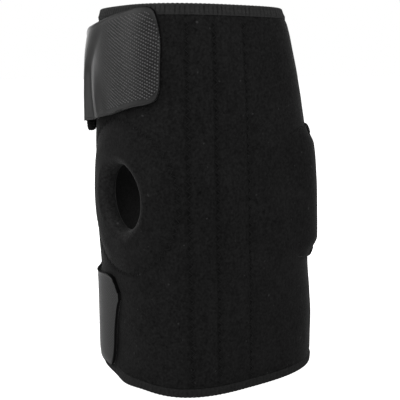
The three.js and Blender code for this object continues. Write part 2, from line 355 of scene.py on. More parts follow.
def cloudy(tree, vector, scale, detail, roughness=0.5):
    """Soft noise over a surface."""
    made = shader_node(tree, "ShaderNodeTexNoise", {
        "Vector": vector, "Scale": scale, "Detail": detail, "Roughness": roughness,
    })
    return made.outputs["Fac"]


BAND = 2 * math.pi / 20  # a wave texture's bands are this far apart at scale 1


def bands(tree, uv, direction, pitch, distortion, detail_scale):
    """Wavy bands across the cloth, one for each pitch in metres."""
    made = shader_node(tree, "ShaderNodeTexWave", {
        "Vector": uv, "Scale": BAND / pitch, "Distortion": distortion,
        "Detail": 1.0, "Detail Scale": detail_scale,
    }, bands_direction=direction)
    return made.outputs["Fac"]


def bumped(tree, shader, height, strength, distance):
    bump = shader_node(tree, "ShaderNodeBump",
                       {"Height": height, "Strength": strength, "Distance": distance})
    tree.links.new(bump.outputs["Normal"], shader.inputs["Normal"])


GRAIN, CLOUDS, PILE, LINT = (520, 2), (150, 3), (26, 2), (380, 0)  # scale and detail of the jersey's noise
GRAIN_TONE, CLOUD_TONE, PILE_TONE = 1.55, 0.5, 0.4  # how much each of them changes the tone
TONE_RANGE, LINT_RANGE = (0.73, 1.73), (0.81, 0.87)
WALE, COURSE = 0.0009, 0.0007  # columns and rows of the knit, in metres
WALE_RELIEF, COURSE_RELIEF, GRAIN_RELIEF = 0.4, 0.3, 0.9


def jersey_group():
    """Brushed jersey: fine wales and courses, cloudy tone where the pile lies differently, and lint."""
    group = bpy.data.node_groups.new("jersey_face", "ShaderNodeTree")
    for label, kind in (("Cloth", "Vector"), ("Place", "Vector"), ("Dark", "Color"), ("Light", "Color"),
                        ("Lint", "Color")):
        group.interface.new_socket(label, in_out="INPUT", socket_type="NodeSocket" + kind)
    for label, kind in (("Color", "Color"), ("Height", "Float")):
        group.interface.new_socket(label, in_out="OUTPUT", socket_type="NodeSocket" + kind)
    inputs = group.nodes.new("NodeGroupInput").outputs
    ends = group.nodes.new("NodeGroupOutput").inputs

    def fuzz(scale, detail):
        return cloudy(group, inputs["Place"], scale, detail, roughness=0.6)

    def knit(direction, pitch):
        return bands(group, inputs["Cloth"], direction, pitch, distortion=0.6, detail_scale=1.5)

    grain = fuzz(*GRAIN)
    tone = value_math(group, "MULTIPLY", fuzz(*PILE), PILE_TONE)
    tone = value_math(group, "MULTIPLY_ADD", fuzz(*CLOUDS), CLOUD_TONE, tone)
    tone = value_math(group, "MULTIPLY_ADD", grain, GRAIN_TONE, tone)
    base = color_mix(group, ranged(group, tone, *TONE_RANGE), inputs["Dark"], inputs["Light"])
    lint = ranged(group, fuzz(*LINT), *LINT_RANGE)
    group.links.new(color_mix(group, lint, base, inputs["Lint"]), ends["Color"])
    height = value_math(group, "MULTIPLY", knit("Y", COURSE), COURSE_RELIEF)
    height = value_math(group, "MULTIPLY_ADD", knit("X", WALE), WALE_RELIEF, height)
    height = value_math(group, "MULTIPLY_ADD", grain, GRAIN_RELIEF, height)
    group.links.new(height, ends["Height"])
    return group


jersey = jersey_group()


def jersey_face(tree, uv, dark, light, lint):
    made = shader_node(tree, "ShaderNodeGroup", {
        "Cloth": uv, "Place": object_place(tree),
        "Dark": grey(dark), "Light": grey(light), "Lint": grey(lint),
    }, node_tree=jersey)
    return made.outputs


MOUTH_PAINTED_LIGHT, MOUTH_INSIDE, MOUTH_OUTSIDE = 1.75, 27.5, 32.5  # painted light: the jersey is made paler over the hole's mouth
# painted shade: the jersey is darkened towards this tone in the pits along each seam, which are also bumped
# in this deep
PIT_SHADE_TONE, PIT_DEPTH = 0.002, 2.0


def neoprene_material(name, dark, light):
    """Brushed jersey over the foam, with painted light over the hole's mouth, and painted shade in bumped
    pits at the seams.
    """
    material, tree, shader, uv = cloth_material(name, roughness=0.9, sheen=0.08, specular=0.05)
    face = jersey_face(tree, uv, dark, light, lint=0.025)
    pits = bands(tree, uv, "Y", SEAM_PITCH * MM, distortion=1.5, detail_scale=2.0)
    pits_and_shade = value_math(tree, "MULTIPLY", mask_value(tree, "seam"), pits)
    hole = leg_point(turn_at(HOLE_ALONG, HOLE_HEIGHT), HOLE_HEIGHT, 0.0) * MM
    from_hole = shader_node(tree, "ShaderNodeVectorMath", {0: object_place(tree), 1: hole.tolist()},
                            operation="DISTANCE").outputs["Value"]
    # painted light: the colour is made paler towards the hole's mouth, lighting its rolled wall
    mouth_light = ranged(tree, from_hole, MOUTH_OUTSIDE * MM, MOUTH_INSIDE * MM)
    color = color_mix(tree, mouth_light, face["Color"], grey(MOUTH_PAINTED_LIGHT), "MULTIPLY")
    # painted shade: the colour is darkened in the seam pits
    tree.links.new(color_mix(tree, pits_and_shade, color, grey(PIT_SHADE_TONE)), shader.inputs["Base Color"])
    height = value_math(tree, "MULTIPLY_ADD", pits_and_shade, -PIT_DEPTH, face["Height"])
    bumped(tree, shader, height, strength=0.5, distance=0.0004)
    return material


neoprene = neoprene_material("neoprene_jersey", dark=0.0024, light=0.0141)
# The lining is paler than the face; in part this is painted light, which brightens the inside that shows
# through the hole.
lining = neoprene_material("neoprene_lining", dark=0.026, light=0.048)

RING_CELLS = (6, 14, 19)  # from the hole's middle to its edge, over the mouth, and past the ring's seam
MOUTH_MARGIN, RING_MARGIN = 1.0, 5.0  # how far past them
TUCKED_CELLS, SIDE_CELLS = (40,), (5, 14, 18, 78)  # up to the ring, and from it over the seams to the end
LOW_CELLS, HIGH_CELLS = (41,), (38,)  # below and above the ring
RING_FADE = (36.0, 68.0)  # the cells lie in circles up to the first, and are square again from the second
SEAM_SHADE, SHADE_WIDTH, RING_GAP = 0.45, 2.2, 0.2  # painted shade along each seam; the ring's seam is shaded as if a gap lay beside it


def in_cells(marks, counts):
    """Lines of a pattern that divide the way from each mark to the next into this many cells."""
    runs = [np.linspace(start, end, count, endpoint=False)
            for start, end, count in zip(marks[:-1], marks[1:], counts)]
    return np.concatenate([*runs, marks[-1:]])


mouth_end, ring_end = HOLE_RADIUS + HOLE_ROLL + MOUTH_MARGIN, RING_RADIUS + RING_MARGIN
ring_half = in_cells([0, HOLE_RADIUS, mouth_end, ring_end], RING_CELLS)
ring_run = np.concatenate([-ring_half[:0:-1], ring_half])
ring_turns = turn_at(HOLE_ALONG + ring_run, HOLE_HEIGHT)
ring_heights = HOLE_HEIGHT + ring_run
sleeve_turns = np.concatenate([
    in_cells([INNER_END, ring_turns[0]], TUCKED_CELLS)[:-1],
    ring_turns,
    in_cells([ring_turns[-1], *STAY_SEAMS, OUTER_END], SIDE_CELLS)[1:],
])
sleeve_heights = np.concatenate([
    in_cells([RIM, ring_heights[0]], LOW_CELLS)[:-1],
    ring_heights,
    in_cells([ring_heights[-1], HEIGHT - RIM], HIGH_CELLS)[1:],
])
sleeve_run = along_at(sleeve_turns, HOLE_HEIGHT) - HOLE_ALONG
sleeve_rise = sleeve_heights - HOLE_HEIGHT


def in_hole(spot):
    run = np.interp(spot.x, np.arange(len(sleeve_run)), sleeve_run)
    rise = np.interp(spot.y, np.arange(len(sleeve_rise)), sleeve_rise)
    return max(abs(run), abs(rise)) < HOLE_RADIUS


def sleeve_place(column, row, on_face):
    turn, height = sleeve_turns[column], sleeve_heights[row]
    run, rise = sleeve_run[column], sleeve_rise[row]
    square = np.maximum(np.abs(run), np.abs(rise))
    round_share = 1 - smooth(square, *RING_FADE)
    pull = round_share * (square / np.maximum(np.hypot(run, rise), 1e-6) - 1)
    along = along_at(turn, height)
    along += round_share * (HOLE_ALONG + run - along) + run * pull
    height = height + rise * pull
    along += seam_lean(height) * smooth(turn, *LEAN_START) * (1 - smooth(turn, *LEAN_END))
    turn = turn_at(along, height)
    radius = np.hypot(along - HOLE_ALONG, height - HOLE_HEIGHT)
    leg_side = -WALL - RING_BACK * (1 - smooth(radius, RING_BACK_PAD, RING_BACK_EDGE))
    leg_side += HOLE_TURN_IN * turned_in(radius, HOLE_TUCK)
    relief = np.where(on_face, sleeve_relief(along, height), leg_side)
    offset = lap_lift(turn) + sleeve_wave(turn, along, height) + relief
    gaps = [np.abs(along - seam) for seam in seam_lines(height)]
    gaps.append(np.abs(radius - RING_RADIUS) + RING_GAP)
    shade = bell(np.minimum.reduce(gaps), 0, SHADE_WIDTH) * on_face
    return turn, height, offset, shade * SEAM_SHADE


sleeve_pattern = flat_cloth(len(sleeve_turns) - 1, len(sleeve_heights) - 1, in_hole)
sleeve = sewn_on("sleeve_neoprene", sleeve_pattern, sleeve_place, neoprene,
                 second=lining, second_sides=(0,))
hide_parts("sleeve")


# Black polyester thread sews the stay channels and the ring round the kneecap hole. It runs as a
# zigzag along each seam and draws the jersey down into a narrow groove.
ZIGZAG_WIDTH, ZIGZAG_PITCH, THREAD = 3.6, 3.2, 0.7
ZIGZAG_START, ZIGZAG_STOP = 9.0, 270.0
STITCH_LAP = 1.12  # each stitch runs a little past its ends


def thread_material(name, tone, specular=0.05):
    material, tree, shader = bare_material(name, {"Roughness": 0.8, "Specular IOR Level": specular})
    fibres = cloudy(tree, object_place(tree), scale=900, detail=2)
    tree.links.new(color_mix(tree, fibres, grey(0.5 * tone), grey(tone)), shader.inputs["Base Color"])
    bumped(tree, shader, fibres, strength=0.4, distance=0.0002)
    return material


seam_thread = thread_material("black_thread", 0.013)


def repeated(name, places, material):
    """One piece of many small spindles, a millimetre long and thick, each put where its matrix says."""
    spindle = bmesh.new()
    bmesh.ops.create_uvsphere(spindle, u_segments=6, v_segments=4, radius=0.5 * MM)
    spindle.verts.index_update()
    corners = np.array([(*vertex.co, 1.0) for vertex in spindle.verts])
    faces = [[vertex.index for vertex in face.verts] for face in spindle.faces]
    spindle.free()
    spots = np.einsum("nij,vj->nvi", np.array(places), corners)[..., :3]
    firsts = range(0, len(places) * len(corners), len(corners))
    joined = [[first + corner for corner in face] for first in firsts for face in faces]
    mesh = bpy.data.meshes.new(name)
    mesh.from_pydata(spots.reshape(-1, 3).tolist(), [], joined)
    return placed(name, mesh, material)


def stitch(start, end, thick):
    """Where a spindle lies as one visible stitch between two points in millimetres."""
    start, end = Vector(start), Vector(end)
    run = end - start
    turned = run.to_track_quat("Z", "Y").to_matrix().to_4x4()
    shaped = Matrix.Diagonal((thick, thick, run.length * STITCH_LAP, 1))
    return Matrix.Translation((start + end) / 2 * MM) @ turned @ shaped


def on_sleeve(along, height):
    """Points on the sleeve's finished face."""
    turn = turn_at(along, height)
    wave = sleeve_wave(turn, along, height)
    return leg_point(turn, height, lap_lift(turn) + wave + sleeve_relief(along, height))


def swing(count):
    """To one side and the other, for each turning point of a zigzag."""
    return ZIGZAG_WIDTH / 2 * (-1.0) ** np.arange(count)


seam_heights = np.arange(ZIGZAG_START, ZIGZAG_STOP, ZIGZAG_PITCH)
zigzags = [(line + swing(len(seam_heights)), seam_heights) for line in seam_lines(seam_heights)]
ring_count = 2 * round(math.pi * RING_RADIUS / ZIGZAG_PITCH)
ring_angle = np.linspace(0, 2 * np.pi, ring_count + 1)
ring_reach = RING_RADIUS + swing(ring_count + 1)
zigzags.append((HOLE_ALONG + ring_reach * np.cos(ring_angle),
                HOLE_HEIGHT + ring_reach * np.sin(ring_angle)))
threads = []
for along, height in zigzags:
    spots = on_sleeve(along, height)
    threads += [stitch(start, end, THREAD) for start, end in zip(spots[:-1], spots[1:])]
sleeve_seams = repeated("sleeve_seams", threads, seam_thread)
sleeve_length = float(along_at(OUTER_END, HEIGHT / 2) - along_at(INNER_END, HEIGHT / 2))


# Knitted black tape is folded over each rim of the sleeve and sewn through all layers, so that its
# outside shows a row of short dents. The top tape is broad, and the bottom one narrower.
TOP_WIDTH, BOTTOM_WIDTH = 8.0, 7.2
TAPE, TAPE_GAP = 0.9, 0.35  # its thickness, and its distance from the sleeve
TUCKED = -96.0  # the bindings stop where the inner end is tucked under
LEAF_ROWS, FOLD_ROWS = 7, 8
FOLD_BEND, FOLD_FULLNESS = 1.6, 0.7  # how far from the rim the fold sets in, and how full it is
PINCH, PINCH_REACH = 0.95, 2.0  # the sewing presses the edges of the tape down onto the sleeve
DENT_PITCH, DENT_LOOSEST = 3.3, 0.3
DENT_FROM, DENT_FULL, DENT_END = 1.2, 2.4, 1.6  # two distances from the rim, and one from the tape's edge
# painted shade: the tape is darkened towards this tone in its dents
DENT_SHADE_TONE, DENT_SHADE = 0.006, 0.8
RIM_RIPPLE = 0.14


def binding_material(name, dark, light):
    """Knitted tape, with painted shade in the dents where the sewing pulls it in."""
    material, tree, shader, uv = cloth_material(name, roughness=0.85, sheen=0.02, specular=0.1)
    face = jersey_face(tree, uv, dark, light, lint=0.03)
    # painted shade in the dents
    color = color_mix(tree, mask_value(tree, "dent"), face["Color"], grey(DENT_SHADE_TONE))
    tree.links.new(color, shader.inputs["Base Color"])
    bumped(tree, shader, face["Height"], strength=0.5, distance=0.0004)
    return material


def fold_lines(width, out, top):
    """Offset and rise of the tape's rows, from the outside edge over the rim to the inside edge."""
    bend = FOLD_BEND + top
    angle = np.linspace(0, np.pi, FOLD_ROWS + 1)
    leaf = np.linspace(width, bend, LEAF_ROWS + 1)[:-1]
    crown = bend - (bend - top) * np.abs(np.sin(angle)) ** FOLD_FULLNESS
    rise = np.concatenate([leaf, crown, leaf[::-1]])
    across = np.sign(np.cos(angle)) * np.abs(np.cos(angle)) ** FOLD_FULLNESS
    sides = np.concatenate([np.ones(LEAF_ROWS), across, -np.ones(LEAF_ROWS)])
    return -WALL / 2 + (WALL / 2 + out) * sides, rise


def bound_rim(name, node, width, rim, inward, columns_per_dent, material, draw):
    """A folded tape round one rim. inward is the way to the sleeve's middle, draw the dents' depth."""
    level = rim + inward * width / 2
    first, last = along_at(TUCKED, level), along_at(OUTER_END, level)
    columns = round((last - first) / DENT_PITCH) * columns_per_dent
    turns = turn_at(np.linspace(first, last, columns + 1), level)
    face_offset, face_rise = fold_lines(width, TAPE_GAP + TAPE, 0.0)
    back_offset, back_rise = fold_lines(width, TAPE_GAP, RIM - TAPE_GAP)
    firmness = np.random.default_rng(4).uniform(DENT_LOOSEST, 1, columns // columns_per_dent + 1)

    def place(column, row, on_face):
        offset = np.where(on_face, face_offset[row], back_offset[row])
        rise = np.where(on_face, face_rise[row], back_rise[row])
        beat = np.cos(2 * np.pi * column / columns_per_dent)
        dent = np.clip(beat, 0, 1) ** 2 * smooth(rise, DENT_FROM, DENT_FULL)
        dent *= 1 - smooth(rise, width - DENT_END, width)
        dent *= on_face * firmness[np.round(column / columns_per_dent).astype(int)]
        pressed = PINCH * on_face * smooth(rise, width - PINCH_REACH, width)
        pull = (draw * dent + pressed) * np.where(offset > -WALL / 2, -1, 1)
        rise = rise + RIM_RIPPLE * on_face * (1 + beat) * (1 - smooth(rise, 0, DENT_FROM))
        turn = turns[column]
        return turn, rim + inward * rise, offset + pull + lap_lift(turn), dent * DENT_SHADE

    tape = sewn_on(name, flat_cloth(columns, len(face_rise) - 1), place, material, mask="dent")
    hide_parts(node)


bound_rim("top_binding_tape", "top_binding", TOP_WIDTH, rim=HEIGHT, inward=-1, columns_per_dent=8,
          material=binding_material("binding_knit", dark=0.015, light=0.026), draw=0.6)
bound_rim("bottom_binding_tape", "bottom_binding", BOTTOM_WIDTH, rim=0.0, inward=1, columns_per_dent=6,
          material=binding_material("binding_knit_dark", dark=0.008, light=0.017), draw=0.25)


# The pad behind the knee is an oblong of thick neoprene sewn to the middle of the back. Its top and
# bottom edges are pressed thin and closed with overlock thread, and its sides run out into the sleeve.
PANEL_TURN, PANEL_FULL, PANEL_HALF, PANEL_CORNER = 180.0, 50.0, 98.0, 18.0
PANEL_BOTTOM, PANEL_TOP = 89.5, 193.0
PANEL_THICK, PANEL_THINNER, PANEL_FULLEST = 7.4, 1.7, 125.0  # it thins upwards from its fullest level
PANEL_EDGE, PANEL_TAPER, PANEL_ROUND = 1.3, 15.0, 0.25  # how its edges thin out, and are rounded
PANEL_LIFT, PANEL_HEM, PANEL_SUNK = 0.4, 0.4, -1.0  # its sides end as a thin hem under the sleeve's face
FLAT_CELLS, CORNER_CELLS, PANEL_ROWS = (19,), 33, 72
PANEL_SEWN, PANEL_STITCH = 56.0, 6.5  # how far each edge is overlocked, and how far its stitches reach in
PANEL_EDGE_POINTS = 120
OVERLOCK_PITCH, OVERLOCK_THREAD = 2.4, 1.6
OVERLOCK_START, OVERLOCK_SLANT = 0.4, 0.8
OVERLOCK_OFF_EDGE, OVERLOCK_OFF_FACE = 0.1, 0.25
panel_middle, panel_rise = (PANEL_BOTTOM + PANEL_TOP) / 2, (PANEL_TOP - PANEL_BOTTOM) / 2
panel_half_run = np.concatenate([
    in_cells([0, PANEL_FULL], FLAT_CELLS)[:-1],
    PANEL_FULL + (PANEL_HALF - PANEL_FULL) * np.sin(np.linspace(0, np.pi / 2, CORNER_CELLS + 1)),
])
panel_runs = np.concatenate([-panel_half_run[:0:-1], panel_half_run])


def panel_half_height(along):
    into_corner = np.maximum(0, np.abs(along) - PANEL_FULL) / (PANEL_HALF - PANEL_FULL)
    return panel_rise - PANEL_CORNER * (1 - np.sqrt(np.maximum(1 - into_corner**2, 0)))


def panel_spot(along, height):
    """Turn, height, inside offset and thickness of the pad at a distance from its middle line."""
    turn = turn_at(along_at(PANEL_TURN, height) + along, height)
    run_out = smooth(np.abs(along), PANEL_FULL, PANEL_HALF)
    from_end = panel_half_height(along) - np.abs(height - panel_middle)
    full = PANEL_THICK - PANEL_THINNER * ((height - PANEL_FULLEST) / panel_rise) ** 2
    thick = PANEL_EDGE + (full - PANEL_EDGE) * smooth(from_end, 0, PANEL_TAPER)
    wave = sleeve_wave(turn, along_at(turn, height), height)
    inside = lap_lift(turn) + wave + PANEL_LIFT + (PANEL_SUNK - PANEL_LIFT) * run_out
    return turn, height, inside, thick + (PANEL_HEM - thick) * run_out


def panel_place(column, row, on_face):
    along = panel_runs[column]
    rise = panel_half_height(along) * (2 * row / PANEL_ROWS - 1)
    turn, height, inside, thick = panel_spot(along, panel_middle + rise)
    return turn, height, inside + thick * on_face, np.zeros(len(turn))


panel_pattern = flat_cloth(len(panel_runs) - 1, PANEL_ROWS)
panel = sewn_on("back_panel_pad", panel_pattern, panel_place, neoprene, edge=PANEL_ROUND)
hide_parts("back_panel")


def overlocked(name, edges):
    """Overlock thread round cut edges: each stitch lies on the face, turns over the edge and ends inside.

    edges holds, for each edge, its line of turns, heights, inside offsets and thicknesses, with the
    same for a line that runs beside it inside the piece.
    """
    stitches = []
    for edge, beside in edges:
        line = leg_point(edge[0], edge[1], edge[2] + edge[3])
        run = np.concatenate([[0], np.cumsum(np.linalg.norm(np.diff(line, axis=0), axis=1))])
        at = np.arange(OVERLOCK_START, run[-1], OVERLOCK_PITCH)

        def picked(values, places):
            return [np.interp(places, run, value) for value in values]

        turn, height, inside, thick = picked(edge, at)
        near_turn, near_height, near_inside, near_thick = picked(beside, at - OVERLOCK_SLANT)
        over = leg_point(turn, height, inside + thick + OVERLOCK_OFF_EDGE)
        under = leg_point(turn, height, inside - OVERLOCK_OFF_EDGE)
        on_face = leg_point(near_turn, near_height, near_inside + near_thick + OVERLOCK_OFF_FACE)
        for first, second, third in zip(on_face, over, under):
            stitches.append(stitch(first, second, OVERLOCK_THREAD))
            stitches.append(stitch(second, third, OVERLOCK_THREAD))
    threads = repeated(name, stitches, seam_thread)
    return threads


def panel_edge(end):
    """The pad's top or bottom edge from side to side, with the line that runs beside it inside the pad."""
    along = np.linspace(-PANEL_SEWN, PANEL_SEWN, PANEL_EDGE_POINTS)
    rise = panel_half_height(along)
    return [panel_spot(along, panel_middle + end * (rise - inset)) for inset in (0.0, PANEL_STITCH)]


overlocked("back_panel_overlock", [panel_edge(1), panel_edge(-1)])


# Two straps of the same neoprene grow from the outer end of the wrap and run round to the front.
# Each is cut from the sheet, overlocked along its edges, and carries a tab of hook tape.
WING_GAP = 0.3  # degrees between the sheet's outer end and the root of a strap
WING_ROOT = OUTER_END + WING_GAP - 360
WING_STEP, WING_ROWS = 5, 34  # columns between two rows of a table, and rows of the pattern
WING_ROUND = 0.9  # its cut edges are rounded by this much
UPPER_WING = np.array([  # along, bottom, top, inside offset and how far it leans in at top and bottom
    (-132.0, 200.0, 263.0, 1.6, 0.0),
    (-100.0, 199.0, 262.0, 1.6, 0.0),
    (-76.0, 198.0, 261.0, 1.8, 0.2),
    (-60.0, 195.0, 257.0, 2.1, 1.0),
    (-50.0, 191.0, 254.0, 2.7, 1.5),
    (-44.0, 189.0, 252.0, 2.9, 1.5),
    (-41.5, 190.5, 249.0, 2.9, 1.5),
    (-40.0, 197.0, 242.0, 2.9, 1.5),
])
LOWER_WING = np.array([
    (-136.0, 9.0, 77.0, 1.6, 0.0),
    (-112.0, 9.0, 77.0, 1.6, 0.0),
    (-90.0, 9.0, 77.0, 1.6, 0.0),
    (-75.0, 11.0, 75.0, 1.6, 0.0),
    (-70.0, 18.0, 68.0, 1.6, 0.0),
])
TOP_LEAN_FADE, LOW_LEAN_FADE, LOW_LEAN = (234.0, 262.0), (198.0, 188.0), 0.8
WING_WAVE, WING_WAVE_OFFSET = 0.4, 60.0  # weaker than the sleeve's, and other waves than those below it
WING_STITCH, WING_WIDTH = 3.6, 64.0  # how far the stitches reach in, and about how wide the straps are
EDGE_POINTS, END_POINTS, END_INSET = 240, 60, 0.7


def strip_spot(table, place, up):
    """Turn, height and inside offset of a strip at a place along its table, up from 0 to 1."""
    along, bottom, top, lift, lean = row_at(table, place).T
    height = bottom + (top - bottom) * up
    leaning = smooth(height, *TOP_LEAN_FADE) + LOW_LEAN * smooth(height, *LOW_LEAN_FADE)
    return np.maximum(turn_at(along, height), WING_ROOT), height, lift - lean * leaning


def strip_piece(name, table, step, rows, thickness, material, relief, mask, edge, cut_edge=None):
    """A strip laid along the sleeve. relief gives what its table leaves out, and its material's mask."""
    columns = (len(table) - 1) * step

    def place(column, row, on_face):
        up = row / rows
        turn, height, lift = strip_spot(table, column / step, up)
        bumps, marked = relief(turn, height, column / step, up)
        return turn, height, lift + bumps + thickness * on_face, marked

    return sewn_on(name, flat_cloth(columns, rows), place, material, mask, edge, cut_edge, (0, 1))


def wing_relief(turn, height, place, up):
    return WING_WAVE * waviness(leg_point(turn, height, WING_WAVE_OFFSET)), np.zeros(len(turn))


def wing_edges(table):
    """Both long edges and the free end of a strap, each with the line that runs beside it."""
    places, ups = np.linspace(0, len(table) - 1, EDGE_POINTS), np.linspace(0, 1, END_POINTS)
    last = np.full(END_POINTS, len(table) - 1.0)
    share = WING_STITCH / WING_WIDTH

    def line(place, up):
        turn, height, lift = strip_spot(table, place, up)
        return turn, height, lift, np.full(len(turn), WALL)

    return [
        (line(places, 0.0), line(places, share)),
        (line(places, 1.0), line(places, 1 - share)),
        (line(last, ups), line(last - END_INSET, share + ups * (1 - 2 * share))),
    ]


def wing(name, node, table):
    piece = strip_piece(name, table, WING_STEP, WING_ROWS, WALL, neoprene, wing_relief, "seam", WING_ROUND)
    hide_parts(node)
    threads = overlocked(name + "_overlock", wing_edges(table))
    length = float(table[-1, 0] - np.maximum(table[0, 0], along_at(WING_ROOT, HEIGHT / 2))) * MM


wing("upper_wing_neoprene", "upper_wing", UPPER_WING)
wing("lower_wing_neoprene", "lower_wing", LOWER_WING)


# The tabs are dark grey hook tape, woven with a fine diamond of raised dots and plain selvedges. Each is
# sewn to the end of its strap and pressed onto the sleeve. The upper one is cut with rounded corners,
# the lower one with a slanted end.
HOOK_TAPE = 2.2
TAB_STEP, TAB_ROWS, TAB_ROUND = 10, 60, 0.5
UPPER_TAB = np.array([  # the same columns as the straps
    (-76.0, 201.0, 258.0, 0.6, 0.0),
    (-60.0, 200.0, 259.0, 1.1, 0.0),
    (-50.0, 198.8, 259.5, 1.7, 0.0),
    (-44.0, 197.8, 260.5, 1.8, 0.0),
    (-38.0, 197.0, 264.0, 1.8, 0.0),
    (-32.0, 197.3, 266.2, 1.8, 0.0),
    (-24.0, 198.4, 267.5, 1.8, 0.0),
    (-12.0, 200.4, 270.0, 1.8, 0.0),
    (2.0, 203.1, 272.5, 1.8, 0.0),
    (18.0, 206.6, 274.8, 1.8, 0.0),
    (32.0, 210.0, 277.0, 1.8, 0.0),
    (40.5, 211.6, 276.3, 1.8, 0.0),
    (46.2, 213.4, 271.0, 1.8, 0.0),
    (49.2, 216.6, 263.0, 1.8, 0.0),
    (50.8, 223.0, 254.0, 1.8, 0.0),
    (51.2, 233.0, 243.0, 1.8, 0.0),
])
CLIMB_LOW, CLIMB_HIGH = 196.0, 274.0
CLIMB = np.array([  # where the climb starts and ends along the tape, and its lift, at equal steps of height
    (-23.0, -33.0, 5.6),
    (-26.0, -36.0, 5.6),
    (-29.0, -39.5, 5.6),
    (-31.0, -41.5, 5.6),
    (-20.0, -43.0, 5.4),
    (-10.0, -44.0, 4.0),
    (-8.0, -44.0, 1.8),
])
BUCKLE, BUCKLE_ALONG, BUCKLE_WIDTH, BUCKLE_SLANT, BUCKLE_LEVEL = 2.3, -26.0, 8.0, 0.4, 235.0
BUCKLE_TOP, BUCKLE_BOTTOM = 244.0, 204.0
LOWER_TAB = np.array([
    (-98.0, 12.0, 74.0, 6.0, 0.0),
    (-84.0, 10.5, 75.0, 6.0, 0.0),
    (-75.0, 9.5, 75.5, 6.1, 0.0),
    (-69.0, 8.8, 75.7, 5.5, 0.0),
    (-62.0, 8.0, 76.0, 2.6, 0.0),
    (-54.0, 7.5, 76.2, 1.4, 0.0),
    (-44.0, 7.0, 76.6, 1.1, 0.0),
    (-32.0, 6.6, 77.6, 0.9, 0.0),
    (-20.0, 6.4, 79.5, 0.8, 0.0),
    (-11.5, 8.0, 80.0, 0.8, 0.0),
    (-6.2, 20.0, 79.0, 0.8, 0.0),
    (-4.2, 40.0, 77.0, 0.8, 0.0),
    (-0.8, 56.0, 73.2, 0.8, 0.0),
    (2.6, 63.0, 68.3, 0.8, 0.0),
])
LOWER_WAVE, LOWER_WAVE_LENGTH, LOWER_WAVE_ROWS = 0.3, 13.0, (5, 9)  # it sets in between these rows
SELVEDGE, END_SHARE = 3.4, 2.8  # the plain margin is narrower at the cut end
HOOK_ACROSS, HOOK_UP, HOOK_SLANT = 1.7, 2.32, 0.775  # columns, rows and each column's drop
HOOK_LENGTH, HOOK_WIDTH, HOOK_HEIGHT = 1.65, 1.1, 0.85
HOOK_SCATTER, HOOK_SIZES, SMALLEST_HOOK = 0.08, (0.85, 1.1), 0.25
UPPER_HOOKS, LOWER_HOOKS = (-18, 10), 0.5  # the upper ones grow over this stretch, the lower ones are small
TABLE_POINTS = 400
WEAVE, FADING = (1400, 1), (55, 3)  # scale and detail of the tape's noise
WEAVE_TONE, FADING_TONE, PLAIN_TONE = 0.3, 0.5, 0.6
CUT_EDGE, CUT_EDGE_SHADE = (0.1, 0.7), 0.1  # painted shade: the cut edge is darker up to this far in, for the gap under the tape's edge


def hook_tape_material(name, ground, selvedge, sheen):
    """Woven hook tape: a rough ground between plain selvedges, and painted shade on its cut edges."""
    material, tree, shader, uv = cloth_material(name, roughness=0.36, sheen=sheen, specular=0.12,
                                                sheen_roughness=0.2)
    inset = mask_value(tree, "inset")
    weave = cloudy(tree, uv, *WEAVE)
    tone = value_math(tree, "MULTIPLY_ADD", weave, WEAVE_TONE, PLAIN_TONE)
    tone = value_math(tree, "MULTIPLY_ADD", cloudy(tree, uv, *FADING), FADING_TONE, tone)
    # painted shade towards the cut edges
    tone = value_math(tree, "MULTIPLY", tone, ranged(tree, inset, *CUT_EDGE, CUT_EDGE_SHADE))
    toned = shader_node(tree, "ShaderNodeCombineColor", {"Red": tone, "Green": tone, "Blue": tone})
    in_ground = ranged(tree, inset, SELVEDGE - 1, SELVEDGE + 1)
    color = color_mix(tree, in_ground, grey(selvedge), grey(ground))
    tree.links.new(color_mix(tree, 1.0, color, toned.outputs["Color"], "MULTIPLY"),
                   shader.inputs["Base Color"])
    bumped(tree, shader, weave, strength=0.3, distance=0.0003)
    return material


upper_tape = hook_tape_material("upper_hook_tape", ground=0.015, selvedge=0.021, sheen=0.14)
lower_tape = hook_tape_material("lower_hook_tape", ground=0.005, selvedge=0.009, sheen=0.26)
# painted shade: the tabs' cut side faces get this near-black material
tape_edge_shade = thread_material("hook_tape_edge_shade", 0.006)
hook_heads = thread_material("hook_heads", 0.107, specular=0.2)


def edge_inset(table, place, up):
    """How far a spot of a strip lies from its nearest edge, in millimetres."""
    along, bottom, top = row_at(table, place).T[:3]
    width = top - bottom
    return np.minimum.reduce([width * up, width * (1 - up), END_SHARE * (table[-1, 0] - along)])


def upper_tab_relief(turn, height, place, up):
    """The tape climbs from the sleeve over the end of its strap, and buckles beside it lower down."""
    along = along_at(turn, height)
    level = (height - CLIMB_LOW) / (CLIMB_HIGH - CLIMB_LOW) * (len(CLIMB) - 1)
    foot, crest, lift = row_at(CLIMB, level).T
    beside = along - BUCKLE_ALONG + BUCKLE_SLANT * (height - BUCKLE_LEVEL)
    buckle = BUCKLE * bell(beside, 0, BUCKLE_WIDTH) * smooth(height, BUCKLE_TOP, BUCKLE_BOTTOM)
    return lift * smooth(along, foot, crest) + buckle, edge_inset(UPPER_TAB, place, up)


def lower_tab_relief(turn, height, place, up):
    wave = LOWER_WAVE * np.sin(height / LOWER_WAVE_LENGTH) * smooth(place, *LOWER_WAVE_ROWS)
    return wave, edge_inset(LOWER_TAB, place, up)


